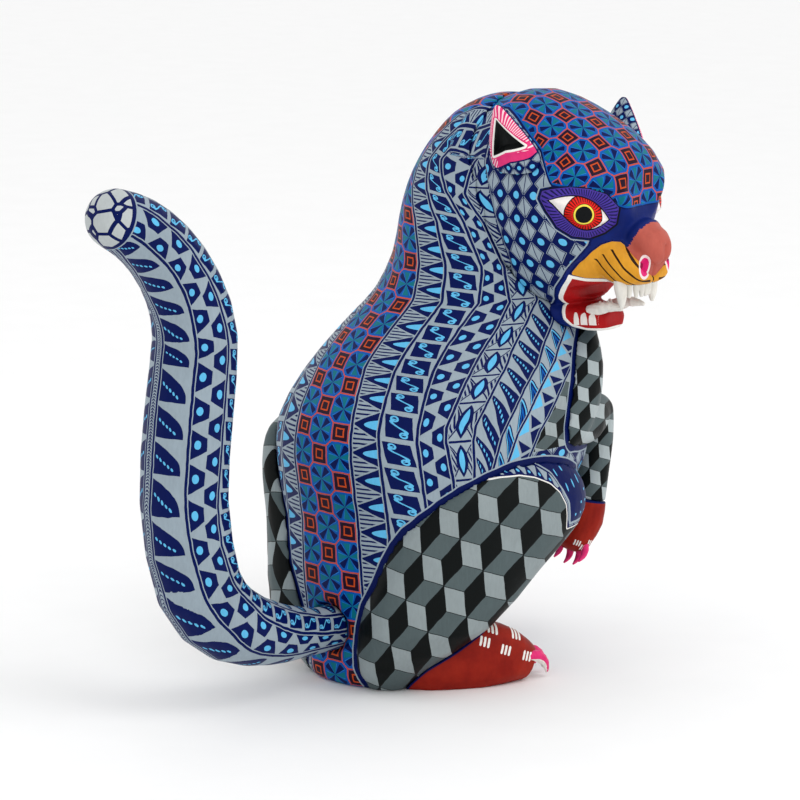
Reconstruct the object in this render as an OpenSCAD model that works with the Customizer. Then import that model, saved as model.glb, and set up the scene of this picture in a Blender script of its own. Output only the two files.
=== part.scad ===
// Seated wild cat figure, carved from soft wood in separate blocks that are pegged and glued together.
// The figure faces -Y and sits on the plane z = 0. Its own right side is towards -X.
// Stations are written as [forward, right, up], and at() turns them into X, Y and Z.

/* [Torso] */
// Fullness of the torso's cross-section: 2 is an ellipse, more is squarer
torso_square = 2.35; // [2:0.05:2.8]
// Gap of the glue line between two blocks
glue_gap = 0.15; // [0.05:0.05:0.3]

/* [Head] */
// Turn of the head to the figure's right, in degrees from straight ahead
head_turn = 81; // [76:1:86]
// Height of the middle of the skull
head_z = 186; // [184:0.5:188]
// Half the width of the skull
skull_w = 37; // [35:0.5:38]
// Half the width of the muzzle
muzzle_w = 17; // [15:0.5:18]

/* [Ears] */
// Height of an ear above the scalp
ear_h = 21; // [18:0.5:24]
// Half the width of an ear at its root
ear_w = 11; // [9:0.5:12]
// Diameter of the peg under each ear
ear_peg_d = 6; // [5:0.5:7]
// Length of the peg under each ear
ear_peg_l = 12; // [10:1:14]
// Radial clearance of the ear peg in its socket
ear_peg_gap = 0.08; // [0.05:0.01:0.1]
// How far the left ear stands ahead of the right one
left_ear_ahead = 5.5; // [0:0.5:7]
// How far the left ear stands below the right one
left_ear_drop = 3.5; // [0:0.5:5]

/* [Tail] */
// Radius of the tail at its thickest
tail_r = 17; // [15:0.5:18]
// Diameter of the dowel that carries the tail
tail_dowel_d = 9; // [8:0.5:10]
// Length of the dowel inside the body
tail_dowel_in = 30; // [25:1:34]
// Length of the dowel inside the tail
tail_dowel_out = 12; // [10:1:14]
// Radial clearance of the tail dowel in both sockets
tail_dowel_gap = 0.06; // [0.04:0.01:0.1]
// Open ring between the tail's root and the body
tail_root_gap = 1; // [0.6:0.1:1.5]

/* [Limbs] */
// Radius of the upper arm
arm_r = 9; // [8:0.5:10]
// Half the width of a hind foot
foot_w = 13; // [11:0.5:14]
// Diameter of the hidden dowels in arms and legs
limb_dowel_d = 8; // [6:0.5:10]
// Diameter of the neck dowel
neck_dowel_d = 14; // [10:1:18]

/* [Hidden] */

blue = [0.06, 0.18, 0.48];
grey = [0.55, 0.58, 0.58];
brick = [0.58, 0.12, 0.08];
pink = [0.88, 0.16, 0.43];
bone = [0.93, 0.92, 0.88];
beech = [0.78, 0.62, 0.42];

// ---- Frames and lofts ----

// A point [forward, right, up] of the figure in X, Y and Z
function at(p) = [-p[1], -p[0], p[2]];

// Catmull-Rom value at t between items i and i + 1 of a list of vectors
function catmull(v, i, t) =
    let (n = len(v) - 1,
         a = v[max(i - 1, 0)], b = v[i], c = v[min(i + 1, n)], d = v[min(i + 2, n)])
    0.5 * (2 * b + (c - a) * t + (2 * a - 5 * b + 4 * c - d) * t * t
           + (3 * b - a - 3 * c + d) * t * t * t);

// A list of vectors with steps points on each span
function smooth(v, steps) =
    [for (i = [0 : len(v) - 2]) for (k = [0 : steps - 1]) catmull(v, i, k / steps), v[len(v) - 1]];

function power(c, e) = sign(c) * pow(abs(c), 2 / e);
function unit(v) = v / norm(v);

// A ring of points round a centre: side and front are its two axes with their half-lengths in them
function ring(centre, side, front, sides, e) =
    [for (k = [0 : sides - 1]) let (a = 360 * k / sides)
        centre + side * power(cos(a), e) + front * power(sin(a), e)];

// Closed solid over a list of rings that all have the same number of points
module skin(rings) {
    sides = len(rings[0]);
    last = len(rings) - 1;
    points = [for (r = rings) each r];
    function id(i, k) = i * sides + k % sides;
    walls = [for (i = [0 : last - 1]) for (k = [0 : sides - 1])
        each [[id(i, k), id(i + 1, k), id(i + 1, k + 1)], [id(i, k), id(i + 1, k + 1), id(i, k + 1)]]];
    polyhedron(points = points, convexity = 6, faces = concat(
        walls,
        [[for (k = [0 : sides - 1]) id(0, k)]],
        [[for (k = [sides - 1 : -1 : 0]) id(last, k)]]));
}

// Loft of level rings [forward, right, up, half depth, half width, turn to the figure's right]
module level_loft(stations, steps, sides, e, grow = 0) {
    skin([for (s = smooth(stations, steps))
        let (front = [cos(s[5]), sin(s[5]), 0], side = [-sin(s[5]), cos(s[5]), 0])
        [for (p = ring([s[0], s[1], s[2]], side * (s[4] + grow), front * (s[3] + grow), sides, e)) at(p)]]);
}

// Tube along stations [forward, right, up, half width across, half width along the bend]. The across axis
// stays level and square to the run.
module tube(stations, steps, sides, e = 2, across = [0, 1, 0]) {
    path = smooth(stations, steps);
    last = len(path) - 1;
    skin([for (i = [0 : last])
        let (a = path[max(i - 1, 0)], b = path[min(i + 1, last)], s = path[i],
             run = unit([b[0] - a[0], b[1] - a[1], b[2] - a[2]]),
             side = unit(across - run * (across * run)),
             front = cross(run, side))
        [for (p = ring([s[0], s[1], s[2]], front * s[4], side * s[3], sides, e)) at(p)]]);
}

// Round-ended tube: the two end stations shrink over cap steps
function rounded(stations, cap_start, cap_end) =
    let (last = len(stations) - 1,
         a = stations[0], b = stations[last],
         va = unit([for (j = [0 : 2]) a[j] - stations[1][j]]),
         vb = unit([for (j = [0 : 2]) b[j] - stations[last - 1][j]]),
         bend = [25, 50, 72])
    concat(
        cap_start ? [for (q = [2 : -1 : 0]) let (d = sin(bend[q]) * min(a[3], a[4]), m = cos(bend[q]))
            [a[0] + va[0] * d, a[1] + va[1] * d, a[2] + va[2] * d, a[3] * m, a[4] * m]] : [],
        stations,
        cap_end ? [for (q = [0 : 2]) let (d = sin(bend[q]) * min(b[3], b[4]), m = cos(bend[q]))
            [b[0] + vb[0] * d, b[1] + vb[1] * d, b[2] + vb[2] * d, b[3] * m, b[4] * m]] : []);

// The same solid, kept as one mesh
module as_mesh() {
    resize([0, 0, 0]) children();
}

// Everything above the plane that the figure sits on
module above_ground(size = 400) {
    translate([-size / 2, -size / 2, 0]) cube([size, size, size]);
}

// Cylinder of diameter d from point a to point b, both [forward, right, up]
module rod(a, b, d) {
    p = at(a);
    v = at(b) - p;
    turn = atan2(v[1], v[0]);
    lean = acos(v[2] / norm(v));
    translate(p) rotate([0, lean, turn]) cylinder(d = d, h = norm(v), $fn = 64);
}

// ---- Head frame ----

// Middle of the skull, [forward, right, up]
head_at = [47, 37, head_z];
ahead = [cos(head_turn), sin(head_turn), 0];
aside = [-sin(head_turn), cos(head_turn), 0];
// A head point: s ahead of the skull's middle, w to the head's own right, z above the skull's middle
function face(s, w, z) = head_at + s * ahead + w * aside + [0, 0, z];

// ---- Torso and neck ----

// [forward, right, up, half depth, half width, turn]
torso_stations = [
    [-10, 0, 0, 31, 28, 0],
    [-9.5, 0, 4, 34.5, 31, 0],
    [-10, 0, 25, 35, 38, 0],
    [-3.5, 0, 45, 44, 46, 0],
    [5, 0, 63, 52, 51, 2],
    [12, 0, 82, 62, 53, 4],
    [14, 0, 100, 63, 53, 8],
    [20.5, 1, 117, 58, 49.5, 12],
    [25, 3, 131, 51, 42.5, 18],
    [27, 5, 140, 45, 38.5, 22],
    [30, 6, 149, 39, 35.5, 26],
    [33, 8, 163, 36, 34.5, 36],
    [34, 9, 178, 35, 34, 48],
    [36, 11, 191, 34, 33, 62],
    [38, 12, 202, 31, 30, 66],
    [40, 13, 211, 27, 26, 68],
    [41, 14, 219, 21, 21, 70],
    [42, 15, 224.5, 13, 13, 70],
    [42, 15, 226.5, 6, 6, 70]];

module torso_block(grow = 0) {
    level_loft(torso_stations, 2, 40, torso_square, grow);
}

// ---- Skull ----

// Skull stations along the head: [s, half width, top, bottom, widening towards the brow], with the heights
// from the skull's middle
skull_stations = [
    [-40, 8, 8, -8, 0],
    [-38, 18, 20, -18, 0],
    [-32, 28, 32, -27, 0],
    [-22, 35, 40.5, -35, 0],
    [-8, skull_w, 43, -40, 0],
    [6, skull_w, 39, -41, 0],
    [18, skull_w - 4, 33, -37, 0.1],
    [27, skull_w - 11, 27, -30, 0.25],
    [33, skull_w - 18, 22, -20, 0.4],
    [37, skull_w - 24, 16, -8, 0.4]];

function head_ring(s, w, top, bottom, widen, sides, e) =
    [for (k = [0 : sides - 1]) let (a = 360 * k / sides, v = power(cos(a), e),
         mid = (top + bottom) / 2, half = (top - bottom) / 2)
        at(face(s, w * (1 + widen * v) * power(sin(a), e), mid + half * v))];

// A loft along the head: each end moves out by grow, and so does the skin
module head_loft(stations, steps, sides, e, grow = 0) {
    path = smooth(stations, steps);
    middle = (path[0][0] + path[len(path) - 1][0]) / 2;
    skin([for (q = path)
        head_ring(q[0] + grow * sign(q[0] - middle), q[1] + grow, q[2] + grow, q[3] - grow,
                  len(q) > 4 ? q[4] : 0, sides, e)]);
}

module skull_block(grow = 0) {
    head_loft(skull_stations, 2, 36, 2.15, grow);
}

// Upper jaw and nose: [s, half width, top, bottom]
muzzle_stations = [
    [14, 16, 2, -27],
    [24, muzzle_w, -2, -29],
    [31, muzzle_w, -8, -31],
    [38, muzzle_w - 2, -14, -31.5],
    [43, muzzle_w - 6, -18, -29]];

nose_stations = [
    [24, 8, 6, -16],
    [33, 8, -2, -16],
    [39, 9, -5, -18],
    [45, 7.5, -8, -22],
    [48, 4, -12, -19]];

// Lower jaw: [s, half width, top, bottom]
jaw_stations = [
    [-6, 17, -32, -44],
    [6, 15, -37, -49],
    [16, 12, -39, -50],
    [22, 10, -40, -49.5],
    [25, 7, -42, -48]];

module head_solid(grow = 0) {
    skull_block(grow);
    head_loft(muzzle_stations, 2, 28, 2.4, grow);
    head_loft(nose_stations, 2, 20, 2.2, grow);
    head_loft(jaw_stations, 2, 24, 2.4, grow);
}

// Open mouth: a wedge right across the jaws with a rounded inner end
mouth_reach = 40;
mouth_stations = [[15, -33.5, 2.5], [20, -34.5, 4], [30, -35, 5], [60, -35.5, 6]];
module mouth_gap() {
    skin([for (w = [mouth_reach, -mouth_reach])
        [for (p = concat([for (q = mouth_stations) [q[0], q[1] + q[2]]],
                         [for (i = [3 : -1 : 0]) let (q = mouth_stations[i]) [q[0], q[1] - q[2]]]))
            at(face(p[0], w, p[1]))]]);
}

// ---- Ears ----

// Root and tip of the ear on one side (1 is the head's right) in the head frame
function ear_root(side) = side > 0 ? face(0, 31, 16) : face(left_ear_ahead, -31, 16 - left_ear_drop);
function ear_axis(side) = unit(side * 0.4 * aside + [0, 0, 1]);
function ear_point(side, run, out, up) =
    ear_root(side) + run * ahead + out * unit(cross(ahead, ear_axis(side))) + up * ear_axis(side);

// Ear as level rings up its axis: [up, run ahead, half length, half thickness]
ear_stations = [
    [0, 0, ear_w, 6.5],
    [6, 0, ear_w, 6],
    [12, -1, 9, 5],
    [18, -2, 6, 3.6],
    [ear_h + 3, -3, 2.6, 1.8],
    [ear_h + 5, -3.2, 0.9, 0.8]];

module ear_block(side) {
    skin([for (q = smooth(ear_stations, 2))
        [for (k = [0 : 19]) let (a = 360 * k / 20)
            at(ear_point(side, q[1] + q[2] * cos(a), q[3] * sin(a), q[0]))]]);
}

// Peg of an ear, or its socket when gap is more than 0
module ear_peg(side, gap = 0, top = 8) {
    rod(ear_point(side, 0, 0, 3 - ear_peg_l - gap * 8), ear_point(side, 0, 0, top), ear_peg_d + 2 * gap);
}

// ---- Teeth ----

// Pointed tooth or claw along [forward, right, up, radius] points
module spike(points, sides = 10) {
    tube([for (p = points) [p[0][0], p[0][1], p[0][2], p[1], p[1]]], 2, sides, 2, [0.3, 0.9, 0.2]);
}

fang_r = 2.6;
module upper_fang(side) {
    spike([[face(34, side * 11, -27), fang_r], [face(34.5, side * 11, -31), fang_r],
           [face(35, side * 11, -35), 1.9], [face(35, side * 11, -38.5), 0.7]]);
}
module lower_fang(side) {
    spike([[face(18, side * 7.5, -42), fang_r], [face(22, side * 7.5, -40.5), fang_r],
           [face(28, side * 7.8, -39), 2.1], [face(33.5, side * 8, -39.5), 0.7]]);
}

// Row of small teeth across the front of a jaw: count pegs on an arc
module tooth_row(count, s, half, z, up, r) {
    for (i = [0 : count - 1]) {
        w = half * (2 * i / (count - 1) - 1);
        back = 2.2 * pow(w / half, 2);
        spike([[face(s - back, w, z), r], [face(s - back, w, z + 0.6 * up), r],
               [face(s - back, w, z + up), 0.5 * r]], 8);
    }
}

// ---- Tail ----

// Height of the dowel that carries the tail, and where the tail's round root starts
tail_z = 23;
tail_root_r = 9;
tail_front = -43;
tail_stations = [
    [-43, 0, 23, tail_root_r, tail_root_r],
    [-52, 0, 23, tail_root_r, tail_root_r],
    [-62, 0, 24.2, 10.2, 10.2],
    [-76, 0, 26.5, 12.3, 12.3],
    [-96, -1, 34, 15.3, 15.3],
    [-110, -3, 50, tail_r - 0.5, tail_r - 0.5],
    [-116, -4, 84, tail_r - 0.3, tail_r - 0.3],
    [-113, -4, 118, tail_r - 0.3, tail_r - 0.3],
    [-110.5, -3, 146, 16, 16],
    [-117, -2, 165, 14.7, 14.7],
    [-128.5, -1, 180, 13.6, 13.6],
    [-141, 0, 189.5, 12.5, 12.5],
    [-150.5, 0, 194, 11.3, 11.3]];

module tail_block() {
    tube(rounded(tail_stations, false, true), 2, 24);
}

// The tail's dowel, or its bore when gap is more than 0
module tail_rod(gap = 0, from = 0, to = 0) {
    rod([tail_front - tail_dowel_out - from, 0, tail_z],
        [tail_front + tail_dowel_in + to, 0, tail_z], tail_dowel_d + 2 * gap);
}

// Round recess in the back that leaves a dark ring round the tail's root
module tail_recess() {
    rod([tail_front - 8, 0, tail_z], [tail_front + tail_root_gap, 0, tail_z],
        2 * (tail_root_r + tail_root_gap));
}

// ---- Limbs of the right side, mirrored for the left ----

module on_side(right) {
    if (right) children();
    else mirror([1, 0, 0]) children();
}

// Right haunch, as level rings: [forward, right, up, half length, half thickness, turn]
right_haunch_stations = [
    [-31, 18, 0, 8, 7, 53],
    [-32, 22, 9, 14, 11, 46],
    [-24, 31.5, 25, 26, 17, 31],
    [-9, 34.5, 45, 36, 21, 15],
    [2, 38.5, 60, 43, 20, 10],
    [7, 42, 71, 41, 17.5, 7],
    [11, 45, 81, 32, 13, 2],
    [14, 47, 88, 17, 7, 0],
    [15, 47, 90, 8, 3, 0]];

// Left haunch, mirrored when it is drawn: it sits higher and further back than the right one
left_haunch_stations = [
    [-29, 18, 0, 8, 7, 52],
    [-29, 23, 10, 15, 11, 42],
    [-22, 31.5, 27, 26, 17, 28],
    [-9, 34.5, 46, 36, 21, 15],
    [0, 38.5, 62, 43, 20, 10],
    [2, 42, 75, 43, 18, 7],
    [3, 45, 86, 40, 14, 3],
    [2, 47, 94, 33, 9, 0],
    [0, 48, 98.5, 22, 5, 0],
    [0, 48, 100, 12, 2.5, 0]];

module haunch_block(right, grow = 0) {
    on_side(right) level_loft(right ? right_haunch_stations : left_haunch_stations, 2, 36, 2.2, grow);
}

// Foot: [forward, right, up, half width, half height]. The sole is cut flat at the ground.
foot_stations = [
    [-28, 18, 5, 7, 7],
    [-19, 27, 8, 11, 11],
    [-8.5, 34, 10.5, foot_w - 1, 14.5],
    [2, 38.5, 11, foot_w, 13.5],
    [11, 40.5, 9, foot_w, 11],
    [18, 42, 6, foot_w - 2, 8]];

module foot_block(grow = 0) {
    path = [for (s = foot_stations) [s[0], s[1], s[2], s[3] + grow, s[4] + grow]];
    intersection() {
        tube(path, 2, 24, 2.6);
        above_ground();
    }
}

// Arm pieces: [forward, right, up, half width across, half width along the bend]
upper_arm_stations = [
    [53, 42, 132, 6.5, 7],
    [49.5, 45, 122, arm_r, arm_r + 0.5],
    [45, 46, 109, arm_r + 1.5, arm_r + 2],
    [40, 46.5, 99, arm_r + 0.5, arm_r + 1]];
forearm_stations = [
    [38, 46, 96, arm_r - 0.5, arm_r - 0.5],
    [55, 42, 96.5, arm_r - 0.3, arm_r - 0.3],
    [68, 35, 98.5, arm_r - 1.2, arm_r - 1.2]];
wrist_stations = [
    [70.5, 34, 98, arm_r - 1, arm_r - 1.6],
    [72, 33, 87, 8, 7],
    [70.5, 32.3, 74, 8, 7],
    [68.5, 31.8, 62, 8.3, 7.3]];
paw_stations = [
    [68.5, 31.8, 62, 8.6, 7.5],
    [66.5, 31.2, 54, 9.6, 8],
    [63, 30.5, 47, 8.5, 6.5]];

module arm_block() {
    tube(rounded(upper_arm_stations, true, true), 2, 20);
    tube(rounded(forearm_stations, true, true), 2, 20);
    tube(rounded(wrist_stations, true, false), 2, 20);
}

module paw_block() {
    tube(rounded(paw_stations, false, true), 2, 20);
}

// ---- Claws and dowels ----

// Claws of a right hind foot, one for each toe: [forward, right, up] of the root
foot_claws = [[15, 51, 8], [18, 45.5, 8.5], [19, 40, 8.5], [18, 34.5, 8]];
module foot_claw(p) {
    spike([[p, 1.8], [p + [3.5, 0.8, -0.5], 1.8], [p + [6, 1.3, -3], 1.2], [p + [6.6, 1.4, -6], 0.4]], 8);
}

// Claws of a right hand
hand_claws = [[62, 37, 45], [63, 33, 43], [62.5, 28.5, 43], [61, 24.5, 45]];
module hand_claw(p) {
    spike([[p, 1.7], [p + [0.5, 0, -3], 1.6], [p + [-1, 0, -5.5], 1.1], [p + [-3.4, 0, -7], 0.4]], 8);
}

bore_gap = 0.05;
module neck_rod(gap = 0) {
    rod([35, 12, 152] - gap * [1, 2, 3], [44, 31, 184] + gap * [1, 2, 3], neck_dowel_d + 2 * gap);
}
module arm_rod(gap = 0) {
    ends = gap * [0.5, 0.86, 0];
    rod([34, 23, 112] - ends, [48.5, 49, 112] + ends, 0.75 * limb_dowel_d + 2 * gap);
}
module leg_rod(gap = 0) {
    rod([26, 26 - gap, 66], [26, 51 + gap, 66], limb_dowel_d + 2 * gap);
}

module torso() {
    color(blue) difference() {
        as_mesh() difference() {
            torso_block();
            head_solid(glue_gap);
        }
        tail_recess();
        tail_rod(tail_dowel_gap, 0, 1);
        neck_rod(bore_gap);
        for (right = [true, false]) on_side(right) {
            arm_rod(bore_gap);
            leg_rod(bore_gap);
        }
    }
}

module head() {
    color(blue) difference() {
        as_mesh() difference() {
            head_solid();
            mouth_gap();
        }
        neck_rod(bore_gap);
        for (side = [1, -1]) ear_peg(side, ear_peg_gap, 14);
    }
}

module ear(side) {
    color(blue) union() {
        as_mesh() difference() {
            ear_block(side);
            skull_block(2 * glue_gap);
        }
        ear_peg(side);
    }
}

module tail() {
    color(blue) difference() {
        tail_block();
        tail_rod(tail_dowel_gap, 1, 0);
    }
}

module tail_dowel() {
    color(beech) tail_rod();
}

module leg(right) {
    color(grey) difference() {
        as_mesh() difference() {
            haunch_block(right);
            torso_block(glue_gap);
        }
        on_side(right) leg_rod(bore_gap);
    }
}

module foot(right) {
    color(brick) as_mesh() difference() {
        on_side(right) foot_block();
        torso_block(glue_gap);
        haunch_block(right, glue_gap);
    }
}

module arm(right) {
    color(grey) difference() {
        as_mesh() difference() {
            on_side(right) arm_block();
            torso_block(glue_gap);
            head_solid(glue_gap);
            haunch_block(right, glue_gap);
        }
        on_side(right) arm_rod(bore_gap);
    }
}

module paw(right) {
    color(brick) on_side(right) paw_block();
}

module upper_incisors() {
    color(bone) tooth_row(6, 38, 7, -28, -7, 1.3);
}
module lower_incisors() {
    color(bone) tooth_row(4, 22.5, 3.5, -43.5, 5.5, 1);
}
module claws_foot(right) {
    color(pink) on_side(right) for (p = foot_claws) foot_claw(p);
}
module claws_hand(right) {
    color(pink) on_side(right) for (p = hand_claws) hand_claw(p);
}
module neck_dowel() {
    color(beech) neck_rod();
}
module arm_dowel(right) {
    color(beech) on_side(right) arm_rod();
}
module leg_dowel(right) {
    color(beech) on_side(right) leg_rod();
}

torso();
head();
ear(1);  // ear_right
ear(-1);  // ear_left
tail();
tail_dowel();
leg(true);  // leg_right
leg(false);  // leg_left
foot(true);  // foot_right
foot(false);  // foot_left
arm(true);  // arm_right
arm(false);  // arm_left
paw(true);  // paw_right
paw(false);  // paw_left
color(bone) upper_fang(1);  // upper_fang_right
color(bone) upper_fang(-1);  // upper_fang_left
color(bone) lower_fang(1);  // lower_fang_right
color(bone) lower_fang(-1);  // lower_fang_left
upper_incisors();
lower_incisors();
claws_foot(true);  // claws_foot_right
claws_foot(false);  // claws_foot_left
claws_hand(true);  // claws_hand_right
claws_hand(false);  // claws_hand_left
neck_dowel();
arm_dowel(true);  // arm_dowel_right
arm_dowel(false);  // arm_dowel_left
leg_dowel(true);  // leg_dowel_right
leg_dowel(false);  // leg_dowel_left
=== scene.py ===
import math

import bpy
import numpy as np
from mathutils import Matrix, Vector
from mathutils.bvhtree import BVHTree


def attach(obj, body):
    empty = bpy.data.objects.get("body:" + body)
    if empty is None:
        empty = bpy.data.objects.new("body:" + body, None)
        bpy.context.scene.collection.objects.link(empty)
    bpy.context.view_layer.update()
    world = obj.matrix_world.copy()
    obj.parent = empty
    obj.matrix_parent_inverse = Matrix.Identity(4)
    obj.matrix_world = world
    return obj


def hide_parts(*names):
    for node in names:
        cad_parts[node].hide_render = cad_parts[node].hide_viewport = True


# A seated wild cat of carved and painted wood. Each CAD piece is remeshed and smoothed. Its points get
# distances in mm and counts as attributes, and the materials draw the paint from those.

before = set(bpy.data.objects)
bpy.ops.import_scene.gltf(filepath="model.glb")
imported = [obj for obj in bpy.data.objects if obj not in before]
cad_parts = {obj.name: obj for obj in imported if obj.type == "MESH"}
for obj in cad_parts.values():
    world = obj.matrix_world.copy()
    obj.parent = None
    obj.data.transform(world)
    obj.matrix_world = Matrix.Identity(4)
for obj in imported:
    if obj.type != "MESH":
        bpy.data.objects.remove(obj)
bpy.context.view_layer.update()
MM = 0.001

# ---------------------------------------------------------------- camera and light

# The camera looks at the target from this far along the aim, in metres
TARGET = Vector((0.01719, -0.01119, 0.10324))
AIM = Vector((-0.694, 0.694, 0.191)).normalized()
DISTANCE = 1.4


def placed(name, data):
    """A new object in the scene."""
    o = bpy.data.objects.new(name, data)
    bpy.context.scene.collection.objects.link(o)
    return o


def lamp(name, place, size, power, aim=(0, 0, 0.1)):
    """A round soft light that faces the figure."""
    data = bpy.data.lights.new(name, "AREA")
    data.shape = "DISK"
    data.size = size
    data.energy = power
    o = placed(name, data)
    o.location = place
    o.rotation_euler = (Vector(place) - Vector(aim)).to_track_quat("Z", "Y").to_euler()


cam_data = bpy.data.cameras.new("camera")
cam_data.lens = 157.5
cam_data.sensor_width = 36
cam_data.clip_start = 0.05
cam_data.clip_end = 20
cam = placed("camera", cam_data)
cam.location = TARGET + AIM * DISTANCE
cam.rotation_euler = AIM.to_track_quat("Z", "Y").to_euler()
bpy.context.scene.camera = cam

world = bpy.data.worlds.new("studio")
bpy.context.scene.world = world
world.use_nodes = True
backdrop = world.node_tree.nodes["Background"]
backdrop.inputs["Color"].default_value = (1, 1, 1, 1)
backdrop.inputs["Strength"].default_value = 1.0
lamp("key", (-0.85, -0.05, 1.15), 0.7, 3.4)
lamp("front_fill", (-1.1, -0.7, 0.6), 1.0, 1.2)
lamp("back_fill", (0.9, 0.9, 0.9), 1.0, 0.7)
bpy.context.scene.view_settings.view_transform = "Standard"

# ---------------------------------------------------------------- node helper


class Graph:
    """A material's nodes, written as sums."""

    def __init__(self, name):
        self.mat = bpy.data.materials.new(name)
        self.mat.use_nodes = True
        self.nt = self.mat.node_tree
        self.bsdf = self.nt.nodes["Principled BSDF"]
        self.attrs = {}

    def node(self, kind, **props):
        n = self.nt.nodes.new(kind)
        for k, v in props.items():
            setattr(n, k, v)
        return n

    def put(self, socket, value):
        if isinstance(value, V):
            self.nt.links.new(value.s, socket)
        elif isinstance(value, tuple):
            socket.default_value = (*value, 1) if len(value) == 3 else value
        else:
            socket.default_value = value

    def math(self, op, a, b=None):
        n = self.node("ShaderNodeMath", operation=op)
        self.put(n.inputs[0], a)
        if b is not None:
            self.put(n.inputs[1], b)
        return V(self, n.outputs[0])

    def attr(self, name):
        if name not in self.attrs:
            n = self.node("ShaderNodeAttribute", attribute_name=name)
            self.attrs[name] = V(self, n.outputs["Fac"])
        return self.attrs[name]

    def mix(self, fac, a, b):
        """a where fac is 0 and b where it is 1, as colours."""
        n = self.node("ShaderNodeMix", data_type="RGBA")
        self.put(n.inputs["Factor"], fac)
        self.put(n.inputs[6], a)
        self.put(n.inputs[7], b)
        return V(self, n.outputs[2])

    def place(self):
        n = self.node("ShaderNodeTexCoord")
        return V(self, n.outputs["Object"])

    def noise(self, scale, detail=2.0, rough=0.5, vector=None, colour=False):
        n = self.node("ShaderNodeTexNoise")
        self.put(n.inputs["Vector"], vector if vector is not None else self.place())
        n.inputs["Scale"].default_value = scale
        n.inputs["Detail"].default_value = detail
        n.inputs["Roughness"].default_value = rough
        return V(self, n.outputs["Color" if colour else "Fac"])

    def mottle(self, tones, scale, detail=2.0, rough=0.5):
        """A colour that wanders between two tones."""
        return self.mix(self.noise(scale, detail, rough), *tones)

    def stretched(self, sx, sy, sz):
        n = self.node("ShaderNodeMapping")
        self.put(n.inputs["Vector"], self.place())
        n.inputs["Scale"].default_value = (sx, sy, sz)
        return V(self, n.outputs[0])


def alone(op):
    return lambda self: self.g.math(op, self)


def forward(op):
    return lambda self, o: self.g.math(op, self, o)


def swapped(op):
    return lambda self, o: self.g.math(op, o, self)


class V:
    """A value in a material. Comparisons give 1 or 0, & is both and | is either."""

    def __init__(self, g, s):
        self.g, self.s = g, s

    __add__ = forward("ADD")
    __radd__ = swapped("ADD")
    __sub__ = forward("SUBTRACT")
    __rsub__ = swapped("SUBTRACT")
    __mul__ = forward("MULTIPLY")
    __truediv__ = forward("DIVIDE")
    __lt__ = forward("LESS_THAN")
    __gt__ = forward("GREATER_THAN")
    __and__ = forward("MULTIPLY")
    __or__ = forward("MAXIMUM")
    __abs__ = alone("ABSOLUTE")
    min = forward("MINIMUM")
    max = forward("MAXIMUM")
    angle = forward("ARCTAN2")
    frac = alone("FRACT")
    floor = alone("FLOOR")
    sin = alone("SINE")
    sqrt = alone("SQRT")


def hyp(a, b):
    return (a * a + b * b).sqrt()


# ---------------------------------------------------------------- colours


def srgb(r, g, b):
    return tuple(((c / 255 + 0.055) / 1.055) ** 2.4 if c > 10.3 else c / 255 / 12.92 for c in (r, g, b))


SILVER = srgb(146, 160, 170)
NAVY = srgb(0, 16, 76)
SKY = srgb(92, 180, 224)
MID = srgb(2, 84, 166)
TEAL = srgb(6, 108, 124)
ORANGE = srgb(198, 74, 26)
MAROON = srgb(34, 14, 34)
GLINT = srgb(40, 124, 204)
WHITE = srgb(232, 230, 224)
BLACK = srgb(14, 16, 18)
CUBE_LIGHT = srgb(150, 160, 162)
CUBE_MID = srgb(80, 92, 94)
CUBE_DARK = srgb(10, 14, 14)
LEG_LIGHT = srgb(138, 148, 150)
ARM_LIGHT = srgb(164, 174, 176)
PATCH = srgb(26, 22, 70)
PURPLE = srgb(70, 52, 150)
RED = srgb(222, 34, 26)
IRIS_DARK = srgb(60, 10, 12)
YELLOW = srgb(236, 216, 78)
EYE_WHITE = srgb(240, 234, 230)
WHISKER = srgb(44, 22, 10)
BACK_TEETH = srgb(226, 220, 214)
NOSTRIL = (srgb(236, 222, 220), srgb(222, 34, 116), srgb(150, 14, 70))
GUM = srgb(196, 120, 110)
EAR_TICK = srgb(246, 206, 214)
PORE = srgb(140, 100, 62)
# pairs of tones that a mottled paint wanders between
BRICK = (srgb(128, 26, 18), srgb(160, 42, 26))
CLAW = (srgb(206, 30, 96), srgb(232, 66, 130))
BONE = (srgb(236, 234, 228), srgb(214, 210, 200))
BRIDGE = (srgb(8, 24, 84), srgb(16, 36, 112))
SALMON = (srgb(164, 70, 60), srgb(194, 102, 88))
OCHRE = (srgb(196, 128, 30), srgb(226, 164, 52))
MOUTH_RED = (srgb(140, 16, 20), srgb(180, 26, 28))
EAR_PINK = (srgb(206, 34, 98), srgb(232, 66, 130))
EAR_DEEP = (srgb(10, 12, 12), srgb(26, 28, 28))
CAP = (srgb(170, 176, 178), srgb(186, 192, 192))
WOOD = (srgb(176, 134, 88), srgb(222, 190, 144))
FLOOR = (srgb(246, 246, 246), srgb(250, 250, 250))


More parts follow.
